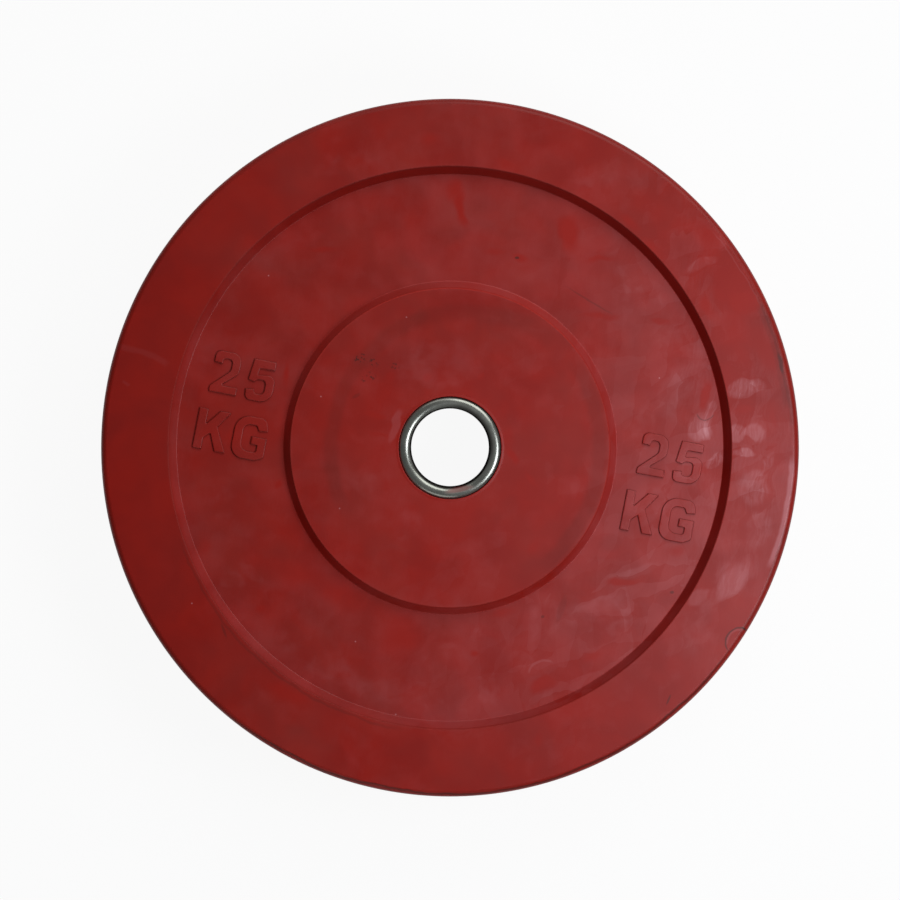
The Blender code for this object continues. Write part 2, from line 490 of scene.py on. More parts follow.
# %% [markdown]
# ## Finishes
#
# A finish is worked out by numbers: how far a point is from the axis, how cloudy the haze is there,
# how worn. Written with nodes alone such sums are long, so one small class wraps a socket, and
# Python's own signs join wrapped sockets with Math nodes. Any other node comes from one method that
# takes its type, its settings and its sockets.

# %% A wrapper that turns Python's signs into Math nodes
class Wire:
    """One output of a node, which sums and other nodes can take as an input."""

    def __init__(self, tree, socket=None):
        self.tree = tree
        self.socket = socket

    def node(self, kind, settings=None, sockets=None, output=0):
        """A new node. Wires given for its sockets are linked, and other values are set."""
        made = self.tree.nodes.new("ShaderNode" + kind)
        for name, value in (settings or {}).items():
            setattr(made, name, value)
        for key, value in (sockets or {}).items():
            if isinstance(value, Wire):
                self.tree.links.new(value.socket, made.inputs[key])
            else:
                made.inputs[key].default_value = value
        return Wire(self.tree, made.outputs[output] if made.outputs else None)

    def split(self):
        """The three numbers of a vector."""
        first = self.node("SeparateXYZ", {}, {0: self})
        return [Wire(self.tree, output) for output in first.socket.node.outputs]

    def math(self, operation, *others):
        """A Math node whose first value is this wire."""
        return self.node("Math", {"operation": operation}, dict(enumerate([self, *others])))

    def __add__(self, other):
        return self.math("ADD", other)

    def __sub__(self, other):
        return self.math("SUBTRACT", other)

    def __rsub__(self, other):
        return self.node("Math", {"operation": "SUBTRACT"}, {0: other, 1: self})

    def __mul__(self, other):
        return self.math("MULTIPLY", other)

    __radd__ = __add__
    __rmul__ = __mul__

    def hypotenuse(self, other):
        return (self * self + other * other).math("SQRT")

    def at_least(self, least):
        return self.math("MAXIMUM", least)

    def rise(self, low, high):
        """0 below low, 1 above high, and a smooth slope between them."""
        limits = {"Value": self, "From Min": low, "From Max": high}
        return self.node("MapRange", {"interpolation_type": "SMOOTHSTEP"}, limits)

    def swing(self, amount):
        """A field from 0 to 1 made to swing round zero, by half the amount to each side."""
        return (self - 0.5) * amount

    def band(self, middle, half_width, edge):
        """1 within half_width of the middle value, falling to 0 over the edge."""
        off = (self - middle).math("ABSOLUTE")
        return 1 - off.rise(half_width, half_width + edge)

    def between(self, colour_a, colour_b):
        """The mix of two colours by this factor."""
        return self.node(
            "Mix", {"data_type": "RGBA"}, {"Factor": self, 6: colour_a, 7: colour_b}, output=2
        )


def new_finish(name):
    """A new material with an empty tree, and the wire that starts it."""
    finish = bpy.data.materials.new(name)
    finish.use_nodes = True
    finish.node_tree.nodes.clear()
    return finish, Wire(finish.node_tree)


def wear(piece, finish):
    """Gives the piece this finish alone."""
    piece.data.materials.clear()
    piece.data.materials.append(finish)


# %% [markdown]
# Every pattern is laid out in the plate's own coordinates, in metres, so that it stays on the plate
# from any side. Noise gives clouds. Its coordinates can be pushed about by another noise first, and
# stretched along a direction, which turns clouds into wipes.

# %% Noise in the plate's own coordinates
def plate_place(start):
    """Where a point is on the plate, in metres."""
    return start.node("TexCoord", output="Object")


def vector(operation, first, second):
    """A Vector Math node on two vectors."""
    return first.node("VectorMath", {"operation": operation}, {0: first, 1: second})


def clouds(place, size, detail=3.0, roughness=0.5):
    """Soft noise from 0 to 1 whose clouds are about this size across, in metres."""
    return place.node(
        "TexNoise",
        {"noise_dimensions": "3D"},
        {"Vector": place, "Scale": 1 / size, "Detail": detail, "Roughness": roughness},
    )


def pushed(place, size, amount):
    """The place moved about by noise of this size, by up to this amount, in metres."""
    push = place.node("TexNoise", {}, {"Vector": place, "Scale": 1 / size, "Detail": 2.0}, output="Color")
    centred = vector("SUBTRACT", push, (0.5, 0.5, 0.5))
    return vector("ADD", place, vector("MULTIPLY", centred, (2 * amount, 2 * amount, 2 * amount)))


def stretched(place, degrees, ratio):
    """The place turned and squeezed along one direction, so that noise on it runs that way."""
    return place.node(
        "Mapping",
        {"vector_type": "TEXTURE"},
        {"Vector": place, "Rotation": (0, 0, math.radians(degrees)), "Scale": (ratio, 1, 1)},
    )


# %% [markdown]
# ## The rubber's finish
#
# The rubber is red all through. What shows is what lies on it: a chalky bloom that comes out of the
# rubber, a thin grey film of dust, and dirt. Hands and floors wipe them about, so the plate is clouded
# and streaked, deep red where it was rubbed clean and pink where the bloom is thick. The finish is
# therefore three layers over one red, each laid on by its own field from 0 to 1. The pale layer also
# carries a painted sheen towards the lit right side, the dark layer also carries painted shade, and parts
# of the red are painted lighter or darker as light and shade.
#
# Noise alone gives an even cloudiness, and a used plate isn't even. The larger marks are listed one by
# one, as they lie on the real one. Each is an ellipse, with its place and size in millimetres and its
# direction in degrees. Pushed coordinates bend it, and noise eats into its edge.

# %% Where the upper face was rubbed clean: (right, up, length, width, degrees, strength)
RUBBED = [
    (-13, 199, 20, 16, 0, 0.8), (-82, 127, 36, 8, 2, 0.9), (-135, 100, 28, 18, 30, 0.6),
    (-40, 47, 20, 13, 75, 1.0), (-15, 45, 10, 9, 0, 0.9), (-50, 22, 32, 8, -12, 1.0),
    (-46, 9, 24, 7, -22, 0.7), (-105, 48, 30, 9, 88, 0.9), (-111, -22, 14, 10, 60, 0.9),
    (4, 164, 26, 32, 0, 0.9), (10, 150, 30, 13, 96, 1.0), (35, 183, 26, 11, -20, 0.9),
    (76, 143, 29, 25, -20, 1.0), (30, 128, 32, 8, 8, 0.8), (46, 124, 22, 9, -25, 0.9),
    (97, 122, 38, 11, 4, 0.9), (116, 145, 34, 16, -42, 1.0), (129, 127, 34, 12, -50, 0.9),
    (145, 105, 34, 12, -60, 0.9), (156, 86, 30, 12, -66, 0.9), (96, 85, 50, 9, -4, 0.9),
    (137, 82, 30, 8, -8, 0.9), (182, 70, 54, 38, -60, 0.8), (164, 34, 34, 11, 88, 1.5),
    (19, 46, 11, 10, 0, 0.9), (34, 26, 22, 12, -70, 0.8), (42, -6, 20, 8, -66, 1.0),
    (52, -22, 24, 8, -48, 1.0), (66, 50, 30, 9, -32, 0.7), (79, 24, 22, 12, 80, 0.6),
    (55, -65, 22, 12, 75, 0.8), (-32, -69, 74, 13, 0, 0.6), (-190, -28, 60, 16, 88, 0.8),
    (-100, -80, 110, 34, -18, 0.8), (-60, -100, 80, 30, -12, 0.7), (-123, -104, 16, 12, 0, 0.9),
    (-30, -122, 52, 36, 8, 1.0), (-180, 75, 90, 34, 68, 0.6), (-160, -95, 70, 22, -50, 0.5),
    (-106, -158, 74, 18, -28, 0.9), (60, -154, 32, 19, 24, 1.3), (16, -132, 12, 9, 0, 0.9),
    (32, -107, 34, 12, 18, 0.8), (91, -133, 28, 12, 18, 0.8), (112, -87, 34, 10, 3, 1.0),
    (147, -68, 24, 14, 25, 0.7), (58, -188, 30, 12, 82, 0.9), (73, -170, 18, 10, 12, 1.0),
    (187, 24, 26, 12, 0, 1.0), (208, 22, 32, 8, 86, 0.8), (166, -15, 16, 11, 0, 0.8),
    (-60, 90, 60, 26, 25, 0.5), (-150, 20, 46, 24, 70, 0.5), (178, 104, 100, 44, -60, 0.9),
    (126, -73, 90, 60, 60, 0.4), (190, 100, 60, 30, -60, 0.9), (162, 138, 40, 26, -45, 0.8),
    (165, 92, 32, 16, -60, 0.8), (78, 133, 30, 28, 0, 0.9), (-157, -65, 30, 26, 0, 0.7),
    (-123, 129, 40, 26, -45, 0.6), (-22, -40, 30, 20, 0, 0.7), (38, 8, 40, 20, 90, 0.8),
    (204, 62, 56, 26, -72, 1.0),
]  # fmt: skip
print(f"{len(RUBBED)} rubbed places")

# %% [markdown]
# The thick bloom is laid out in the same way. Most of it is on the right, where the plate has been
# handled most, and the strongest patches lie there, on both sides of the rim's wall.

# %% Where the bloom lies thick: (right, up, length, width, degrees, strength)
BLOOMED = [
    (-5, 54, 84, 46, 10, 0.35), (-36, 14, 34, 9, 70, 0.6), (-68, 182, 70, 22, 14, 0.25),
    (87, 179, 38, 20, 78, 0.25), (111, 170, 44, 34, -45, 0.2), (149, 143, 34, 26, -50, 0.15),
    (163, 118, 28, 8, 21, 0.5), (95, 118, 30, 8, -8, 0.2), (109, 108, 28, 8, -48, 0.2),
    (114, 92, 26, 8, -85, 0.15), (129, 105, 40, 22, -52, 0.25), (-201, -39, 18, 8, 94, 0.4),
    (-180, -72, 44, 28, -55, 0.25), (-140, -85, 24, 16, 0, 0.3), (-128, -80, 30, 10, -35, 0.3),
    (-118, -99, 26, 10, -72, 0.3), (-50, -22, 40, 28, 0, 0.25), (-29, -50, 40, 24, 25, 0.25),
    (27, -68, 70, 44, 85, 0.15), (61, -110, 50, 34, 72, 0.3), (100, -105, 74, 28, 10, 0.35),
    (113, -115, 50, 10, 17, 0.35), (119, -80, 44, 10, 18, 0.25), (44, -136, 28, 17, -20, 0.35),
    (24, -153, 38, 20, 95, 0.35), (17, -121, 14, 10, 60, 0.35), (-6, -132, 40, 40, 0, 0.25),
    (186, 37, 26, 17, 14, 1.2), (197, 40, 18, 12, 20, 0.6), (184, 8, 18, 14, 0, 0.9),
    (196, 9, 17, 15, 0, 0.65), (187, -4, 20, 7, 0, 0.8), (163, 14, 24, 18, 50, 1.1),
    (167, 12, 14, 15, 0, 0.9), (124, 10, 44, 22, 80, 0.4), (143, 32, 50, 28, 70, 0.35),
    (205, -7, 20, 9, 60, 0.35), (169, 19, 30, 8, 88, 1.2), (180, -88, 34, 17, 60, 0.8),
    (130, -38, 48, 22, 60, 0.35), (171, -8, 18, 11, 45, 1.1), (194, -25, 34, 26, 60, 0.5),
    (197, -53, 34, 26, 80, 0.35), (181, -84, 52, 32, 50, 0.4), (159, -96, 20, 12, 40, 0.5),
    (161, -114, 50, 30, 80, 0.3), (148, -136, 46, 24, 80, 0.25), (78, -20, 56, 5, 90, 0.2),
    (150, -46, 60, 36, 10, 0.15), (130, -72, 60, 22, 14, 0.2), (150, 60, 90, 40, -70, 0.3),
    (48, 83, 70, 12, -22, 0.2), (-85, -135, 90, 30, -32, 0.25), (-30, -158, 90, 24, -6, 0.25),
    (-150, -45, 50, 30, 70, 0.2), (200, -30, 110, 26, 85, 0.15),
]  # fmt: skip
print(f"{len(BLOOMED)} bloomed places")

# %% [markdown]
# Dirt is darker than the red: thin scuffs, specks, a few faint smears, and a speckled patch on the
# hub. The flecks are tiny pale dots, alike in size and strength, so a place is all that each needs.

# %% Scuffs, specks and the tiny pale flecks
SOILED = [
    (72, -104, 22, 6, 74, 0.14), (90, 95, 44, 1.6, -31, 0.25), (104, -61, 20, 14, 20, 0.08),
    (143, -94, 4, 3, 0, 0.5), (60, -109, 3, 2.4, 0, 0.4), (44, 122, 3.5, 2.2, 0, 0.7),
    (213, 54, 18, 4, -73, 0.28), (-145, -117, 14, 2.0, -70, 0.3), (141, -163, 10, 1.6, 70, 0.5),
    (209, -84, 6, 2.4, 60, 0.4), (-60, 33, 8, 3, 30, 0.2), (206, 62, 80, 36, -72, 0.12),
]  # fmt: skip
SPECKLED = [
    (-57, 58, 9, 8, 0, 1.0), (-48, 56, 8, 8, 0, 1.0), (-52, 46, 12, 8, 20, 1.0),
    (-36, 53, 9, 6, 0, 0.7),
]  # fmt: skip
FLECKS = [
    (-117, 111), (-28, 84), (-83, 33), (-71, -39), (-61, -125), (-35, -172), (-166, -100), (135, 45),
]  # fmt: skip
FLECK_SIZE = 1.2
FLECK_STRENGTH = 0.4


def ellipse(place, right, up, length, width, degrees):
    """1 in the middle of an ellipse, whose sizes are in millimetres, and 0 at its outline."""
    inside = place.node(
        "Mapping",
        {"vector_type": "TEXTURE"},
        {
            "Vector": place,
            "Location": (right * MILLIMETRE, up * MILLIMETRE, 0),
            "Rotation": (0, 0, math.radians(degrees)),
            "Scale": (length / 2 * MILLIMETRE, width / 2 * MILLIMETRE, 1),
        },
    )
    return place.node("TexGradient", {"gradient_type": "SPHERICAL"}, {"Vector": inside}, output="Fac")


def laid_out(place, marks, soft=0.5):
    """All the marks of a list added up, each at its own strength and fading over the soft share."""
    total = 0.0
    for right, up, length, width, degrees, strength in marks:
        mark = ellipse(place, right, up, length, width, degrees).rise(0.0, soft)
        total = mark.math("MULTIPLY_ADD", strength, total)
    return total


print(f"{len(SOILED)} soiled and {len(SPECKLED)} speckled places, {len(FLECKS)} flecks")

# %% [markdown]
# Two kinds of mark aren't ellipses. A scuff or a wear line often follows the plate's own edge, or
# another plate's, so it is an arc of a ring. And a rubbed edge goes all the way round, which takes
# only a band on the distance from the axis.

# %% Arcs: (right, up of the centre, radius, half width, from degrees, to degrees, strength)
# The first four dark arcs darken soft rings across the hub.
DARK_ARCS = [
    (13, -1, 90, 5.0, 100, 212, 0.16), (13, -1, 87.5, 6.0, 48, 118, 0.13),
    (0, 0, 96.5, 5.5, -56, 40, 0.2), (0, 0, 76, 9.0, 42, 80, 0.08),
    (0, 0, 183.4, 0.9, 196, 262, 0.2), (0, 0, 218.6, 2.4, 6, 26, 0.16),
    (0, 0, 220.3, 1.4, 1, 30, 0.18), (0, 0, 221.5, 1.4, -34, -12, 0.15),
    (0, 0, 222.6, 0.7, 225, 330, 0.5), (164, 24, 6.3, 0.5, 195, 345, 0.4),
    (186, -124.5, 8.4, 0.6, 40, 230, 0.6),
]  # fmt: skip
# The first three pale arcs lay pale lines along the right edge of the rim.
PALE_ARCS = [
    (0, 0, 219.3, 1.8, -21, -1, 1.5), (0, 0, 220.2, 0.4, -20, 2, 0.4),
    (0, 0, 219.4, 0.5, 24, 40, 0.3), (62, -150, 13, 0.8, 70, 165, 0.4),
    (186, -124.5, 7.3, 0.7, 60, 200, 0.5), (97, 101, 18, 2.2, -30, 60, 0.12),
    (-214.7, 9.3, 55, 2.0, 50, 89, 0.14), (-221.9, 26, 20, 0.9, 42, 58, 0.14),
]  # fmt: skip
FULL_WIDTH_SHARE = 0.4
FULL_LENGTH_SHARE = 0.75


def arc(place, right, up, radius, half_width, start_degrees, end_degrees):
    """1 along an arc, whose sizes are in millimetres, fading at its sides and its ends."""
    start_angle, end_angle = math.radians(start_degrees), math.radians(end_degrees)
    half_sweep = (end_angle - start_angle) / 2
    there = place.node(
        "Mapping",
        {"vector_type": "TEXTURE"},
        {
            "Vector": place,
            "Location": (right * MILLIMETRE, up * MILLIMETRE, 0),
            "Rotation": (0, 0, (start_angle + end_angle) / 2),
            "Scale": (MILLIMETRE, MILLIMETRE, 1),
        },
    )
    along, across, _ = there.split()
    on_the_ring = along.hypotenuse(across).band(radius, FULL_WIDTH_SHARE * half_width, half_width)
    full_sweep = FULL_LENGTH_SHARE * half_sweep
    return on_the_ring * across.math("ARCTAN2", along).band(0, full_sweep, half_sweep - full_sweep)


def arcs(place, marks):
    """All the arcs of a list added up, each at its own strength."""
    total = 0.0
    for *shape, strength in marks:
        total = arc(place, *shape).math("MULTIPLY_ADD", strength, total)
    return total


print(f"{len(DARK_ARCS)} dark and {len(PALE_ARCS)} pale arcs")

# %% [markdown]
# Now the fields, each from 0 to 1. The first ones tell where on the plate a point is: on which face, wall
# or corner. They are needed because each has its own wear. The listed marks are on the upper face alone,
# the corners of the steps are rubbed, and the shoulders and the tread carry neither bloom nor dust.
# Right, up, height and radius are in metres, so the limits are real places.

# %% Where on the plate a point is
MARKED_DEPTH = 0.012
WALL_FADE = 0.0006
CORNER_HALF_WIDTH = 0.0003
CORNER_FADE = 0.0005
WEB_MIDDLE = 0.142
UNDER_MARK_TOP = 0.0003

rubber_finish, start = new_finish("hazed_red_rubber")
place = plate_place(start)
right, up, height = place.split()
radius = right.hypotenuse(up)

on_upper_face = height.rise(THICKNESS - MARKED_DEPTH, THICKNESS - MARKED_DEPTH + 0.002)
on_the_rim = radius.rise(RIM_EDGE - 0.002, RIM_EDGE + 0.002)
off_the_web = radius.rise(0.178, 0.184)
on_the_web = radius.band(WEB_MIDDLE, 0.034, 0.004)
on_the_hub = 1 - radius.rise(HUB_RADIUS - 0.003, HUB_RADIUS + 0.001)
near_the_bore = 1 - radius.rise(0.045, 0.075)
hub_wall = radius.band(HUB_RADIUS + WALL_RUN / 2, WALL_RUN / 2, WALL_FADE)
rim_wall = radius.band(RIM_EDGE - WALL_RUN / 2, WALL_RUN / 2, WALL_FADE)
hub_corner = radius.band(HUB_RADIUS, CORNER_HALF_WIDTH, CORNER_FADE)
rim_corner = radius.band(RIM_EDGE, CORNER_HALF_WIDTH, CORNER_FADE)
corners = hub_corner + rim_corner
round_the_edge = radius.rise(PLATE_RADIUS - SHOULDER, PLATE_RADIUS - SHOULDER + CORNER_FADE)
# Painted shade: the sides of the raised marks, which the dark layer darkens.
shaded_mark_sides = height.band(MIDDLE + WEB_FACE + MARK_RISE / 2, MARK_RISE / 2 - UNDER_MARK_TOP, 0.0002)
shaded_mark_sides = shaded_mark_sides * radius.band(WEB_MIDDLE, 0.031, 0.002)
print(f"marks of use lie within {1000 * MARKED_DEPTH:.0f} mm of the top")

# %% [markdown]
# The plate isn't used evenly either. Its right side is handled most, and brushed near the edge, and the
# lit side also gets a painted sheen. The left of the rim is wiped clean of dust, and a little painted
# shade darkens it. The rim's wall at the upper right is in shade: it is kept free of dust and bloom and
# painted dark as shade. These fields choose the sides.

# %% Which side is handled, brushed or wiped
to_the_right = right.rise(-0.10, 0.08)
at_the_back = (up - right * 0.3).rise(0.02, 0.08)
lower_left = 1 - (right + up).rise(-0.06, 0.0)
lit_side = (right - up * 0.35).rise(-0.02, 0.20)
quiet = off_the_web * (1 - up.rise(-0.10, -0.04))
handled = lit_side * (1 - quiet * 0.7)
brushed = handled * right.rise(0.13, 0.17)
by_the_wall = radius.band(0.172, 0.003, 0.014) * (1 - to_the_right)
# The rim's wall at the upper right, where it is in shade; it is painted dark as shade further down.
rim_wall_in_shade = rim_wall * (right + up).rise(-0.17, 0.21)
# The left of the rim: clean of dust, and later given a little painted shade.
clean_and_shaded_rim = off_the_web * (1 - right.rise(-0.21, -0.10))
dusty = (1 - round_the_edge - rim_wall_in_shade - clean_and_shaded_rim).at_least(0.0)
# Darker corners of the steps; the hub's corner only away from the upper right, which is painted shade.
darkened_corners = rim_corner + hub_corner * (1 - (right + up).rise(-0.02, 0.08))
print(f"{len(rubber_finish.node_tree.nodes)} nodes tell a point's place")

# %% [markdown]
# Next the patterns. Wide clouds and wipes vary the haze, and small smudges eat into the edges of the
# marks. Wiping also leaves strokes with one sharp side. Cells of a Voronoi texture have that look
# once their coordinates are bent and stretched: each cell is one stroke, with a strength of its own.
# Noise stretched much further gives the fine lines of a brush.

# %% Clouds, smudges and strokes
drifting = pushed(place, 0.05, 0.012)
bent = pushed(pushed(place, 0.035, 0.006), 0.011, 0.0025)
ragged = pushed(pushed(place, 0.03, 0.0025), 0.006, 0.0008)
cloudy = clouds(drifting, 0.050, detail=2.5)
wiped = clouds(stretched(drifting, -35, 4.0), 0.02)
veil = clouds(drifting, 0.034, detail=2.0)
smudge = clouds(bent, 0.012, detail=2.5)
combed = clouds(stretched(bent, 82, 12.0), 0.0014, detail=2.0).rise(0.3, 0.7)


def smears(place, degrees, ratio, size):
    """Strokes that run one way, each with its own strength from 0 to 1."""
    along = stretched(place, degrees, ratio)
    cells = place.node("TexVoronoi", {}, {"Vector": along, "Scale": 1 / size}, output="Color")
    return cells.split()[0]


def blotted(marks, soft):
    """A list of marks with their edges eaten by the smudges."""
    spread = laid_out(bent, marks, soft)
    return spread * (spread + smudge.swing(1.1)).rise(0.1, 0.1 + soft)


strokes = smears(bent, 22, 3.6, 0.011) * 0.5 + smears(bent, 80, 2.8, 0.009) * 0.5
rubbed = blotted(RUBBED, 0.9) * on_upper_face
uncovered = (1 - rubbed).at_least(0.0)
print(f"{len(rubber_finish.node_tree.nodes)} nodes with the patterns and the rubbed places")

# %% [markdown]
# The pale layer is a sum of a level, the patterns and the sides, so each part of the look can be turned
# up or down by itself. In the sides it is painted sheen: it grows towards the right, on the lit side, and
# on the upper side of the hub's wall. Then it is rubbed away in places, and the thick patches of bloom,
# the pale arcs and the flecks go on top.

# %% The bloom
BLOOM_LEVEL = 0.020
THICK_BLOOM = 0.20

bloom_and_sheen = BLOOM_LEVEL + cloudy.swing(0.10) + wiped.swing(0.05) + smudge.swing(0.06)
bloom_and_sheen = bloom_and_sheen + combed.swing(brushed * 0.025 + 0.006) + strokes.swing(handled * 0.12 + 0.012)
# Painted sheen: this line and the next grow the pale layer towards the right, on the lit side and on the
# upper side of the hub's wall.
bloom_and_sheen = bloom_and_sheen + right * 0.11 + lit_side * (on_the_web * 0.02 + 0.02) + by_the_wall * 0.02
bloom_and_sheen = bloom_and_sheen + hub_wall * (to_the_right * 0.02 + up * 0.28 + 0.014) + (rim_wall - rim_wall_in_shade) * 0.035
bloom_and_sheen = bloom_and_sheen - on_the_rim * (lit_side * 0.035 + 0.015) - on_the_hub * (to_the_right * 0.025 + 0.004)
patches = blotted(BLOOMED, 0.5) * on_upper_face * THICK_BLOOM
patches = patches * (0.7 + handled * (strokes * 1.2 - 0.4) + brushed * combed.swing(0.5))
bloom_and_sheen = (bloom_and_sheen.at_least(0.0) * uncovered + patches) * dusty * (1 - corners * 0.8)
flecks = [(*spot, FLECK_SIZE, FLECK_SIZE, 0, FLECK_STRENGTH) for spot in FLECKS]
on_top = arcs(ragged, PALE_ARCS) * THICK_BLOOM + laid_out(place, flecks, 0.4)
bloom_and_sheen = bloom_and_sheen + on_top * on_upper_face
print(f"{len(rubber_finish.node_tree.nodes)} nodes with the bloom")

# %% [markdown]
# Dust is a thin, cloudy veil. The dark layer is dirt in scuffs and one speckled patch of the hub, and
# painted shade on the sides of the raised marks. It also darkens the steps' corners and round the edge,
# and the hub's corner only away from the upper right, where that is painted shade.

# %% The dust and the dirt
DUST_LEVEL = 0.06
EDGE_DARKENING = 0.12

dust = (DUST_LEVEL + veil.swing(0.35)).at_least(0.0) * uncovered * dusty * (1 - lit_side * 0.5)
speckle = clouds(place, 0.0022, detail=3.0).rise(0.52, 0.62)
dirt_and_shade = laid_out(ragged, SOILED) + laid_out(ragged, SPECKLED) * speckle * 0.8
dirt_and_shade = dirt_and_shade + arcs(ragged, DARK_ARCS) + (round_the_edge + darkened_corners) * EDGE_DARKENING
# Painted shade along the sides of the raised marks.
dirt_and_shade = (dirt_and_shade + shaded_mark_sides * (smudge * 0.6 + 0.25)) * on_upper_face
print(f"{len(rubber_finish.node_tree.nodes)} nodes with the dust and the dirt")

# %% [markdown]
# The red itself varies a little from place to place. It is purest where it was rubbed and near the bore.
# The hub's wall is painted a lighter, purer red as painted light, and brightest on the far side of that
# wall as a painted lit side. The rim's wall is painted dark where it is in shade, as painted shade, and
# the left of the rim a little too. The layers are then mixed over it in the order in which they lie. A
# fine grain gives the surface the dull skin of moulded rubber.

# %% The red and its layers
PURE_RED = (0.300, 0.0085, 0.0035, 1)
DEEP_RED = (0.245, 0.0065, 0.0028, 1)
SHADED_WALL_RED = (0.10, 0.0020, 0.0010, 1)
LIT_WALL_RED = (0.345, 0.0095, 0.0035, 1)
GREY_DUST = (0.17, 0.058, 0.048, 1)
PALE_BLOOM_AND_SHEEN = (0.59, 0.255, 0.275, 1)
BLACK_DIRT_AND_SHADE = (0.028, 0.011, 0.008, 1)
GRAIN_SIZE = 0.0009
GRAIN_DEPTH = 0.0001

tone = clouds(drifting, 0.025, detail=2.5).rise(0.25, 0.75) + rubbed * 0.4
# Painted light: the hub's wall and its corner are lifted towards the purer red.
tone = tone + (hub_wall + hub_corner) * 0.5 + near_the_bore * (lower_left * 0.5 + 0.2)
colour = tone.between(DEEP_RED, PURE_RED)
# Painted light: the far side of the hub's wall is painted a brighter red, as its lit side.
colour = ((hub_wall + hub_corner) * at_the_back).between(colour, LIT_WALL_RED)
# Painted shade: the rim's wall in shade, and a little of the left of the rim, are darkened towards a
# shaded red.
colour = (rim_wall_in_shade * 0.45 + clean_and_shaded_rim * 0.1).between(colour, SHADED_WALL_RED)
colour = dust.between(colour, GREY_DUST)
# The pale layer is chalky bloom and, towards the lit right side, a painted sheen.
colour = bloom_and_sheen.between(colour, PALE_BLOOM_AND_SHEEN)
colour = dirt_and_shade.between(colour, BLACK_DIRT_AND_SHADE)

grain = clouds(place, GRAIN_SIZE, detail=2.0)
bump = start.node("Bump", {}, {"Height": grain, "Strength": 0.25, "Distance": GRAIN_DEPTH})
shader = start.node(
    "BsdfPrincipled",
    {},
    {
        "Base Color": colour,
        "Roughness": 0.42 - cloudy.swing(0.15) + corners * 0.3,
        "Specular IOR Level": 0.27,
        "Normal": bump,
    },
)
start.node("OutputMaterial", {}, {"Surface": shader})
for piece in [rubber, *marks]:
    wear(piece, rubber_finish)
print(f"{rubber_finish.name}: {len(rubber_finish.node_tree.nodes)} nodes")

# %% [markdown]
# ## The steel's finish
#
# Two steels are in the plate. The sleeve's lips are what a bar rubs on: turned, worn smooth, and grey
# with fine rings of scratches. Further in, the bore is painted dark and dull as painted shade, for the
# shade that falls inside it, and towards the upper right that painted shade reaches up the lip's inner
# half. A smear of red rubber is left at the near side. Rings need a coordinate that stays the same all
# the way round, so the noise reads the distance from the axis and the height, with just a little of the
# place mixed in to break the rings up.

# %% The worn sleeve
BRIGHT_STEEL = (0.36, 0.37, 0.33, 1)
DULL_STEEL = (0.23, 0.24, 0.21, 1)
BORE_SHADE_GREY = (0.030, 0.027, 0.024, 1)
RUBBER_SMEAR = (0.26, 0.05, 0.045, 1)
SCRATCH_SIZE = 0.00035
SCRATCH_DEPTH = 0.00001

steel_finish, start = new_finish("worn_sleeve_steel")
place = plate_place(start)
right, up, height = place.split()
radius = right.hypotenuse(up)
ringed = place.node("CombineXYZ", {}, {"X": radius, "Y": height})
ringed = vector("ADD", ringed, vector("MULTIPLY", place, (0.02, 0.02, 0.0)))
scratches = clouds(ringed, SCRATCH_SIZE, detail=2.0)
tarnish = clouds(pushed(place, 0.02, 0.004), 0.009, detail=4.0, roughness=0.6)
on_upper_half = height.rise(MIDDLE, MIDDLE + 0.01)
in_the_bore = 1 - radius.rise(BORE_RADIUS + 0.0002, BORE_RADIUS + 0.0012)
shaded_lip_half = 1 - radius.rise(BORE_RADIUS + 0.0008, BORE_RADIUS + 0.0050)
shaded_lip_half = shaded_lip_half * (right + up * 0.8).rise(0.0, 0.03) * on_upper_half
# Painted shade: the bore, and towards the upper right the inner half of the lip, are darkened and dulled.
painted_bore_shade = in_the_bore.at_least(shaded_lip_half * 0.9)
smear = ellipse(place, 6, -26.8, 24, 5, 12).rise(0.0, 0.6) * on_upper_half
worn = 0.15 + tarnish.rise(0.3, 0.7) * 0.5 + scratches.swing(0.2)
colour = worn.between(DULL_STEEL, BRIGHT_STEEL)
colour = painted_bore_shade.between(colour, BORE_SHADE_GREY)
colour = (smear * 0.55).between(colour, RUBBER_SMEAR)
bump = start.node("Bump", {}, {"Height": scratches, "Strength": 0.02, "Distance": SCRATCH_DEPTH})
shader = start.node(
    "BsdfPrincipled",
    {},
    {
        "Base Color": colour,
        "Roughness": 0.25 + tarnish.swing(0.08) + painted_bore_shade * 0.25 + smear * 0.2,
        "Metallic": 0.80 - painted_bore_shade * 0.80 - smear * 0.4,
        "Specular IOR Level": 0.0,
        "Normal": bump,
    },
)
start.node("OutputMaterial", {}, {"Surface": shader})
wear(sleeve, steel_finish)
print(f"{steel_finish.name}: {len(steel_finish.node_tree.nodes)} nodes")

# %% [markdown]
# The anchor discs never saw a lathe. They are punched from hot-rolled plate, blue-black with mill
# scale, and the scale is blasted off in patches so that the rubber bonds to the bare steel.

# %% The anchor discs' plate
MILL_SCALE = (0.045, 0.048, 0.055, 1)
BLASTED_STEEL = (0.30, 0.29, 0.28, 1)
PIT_SIZE = 0.0007
PIT_DEPTH = 0.0001

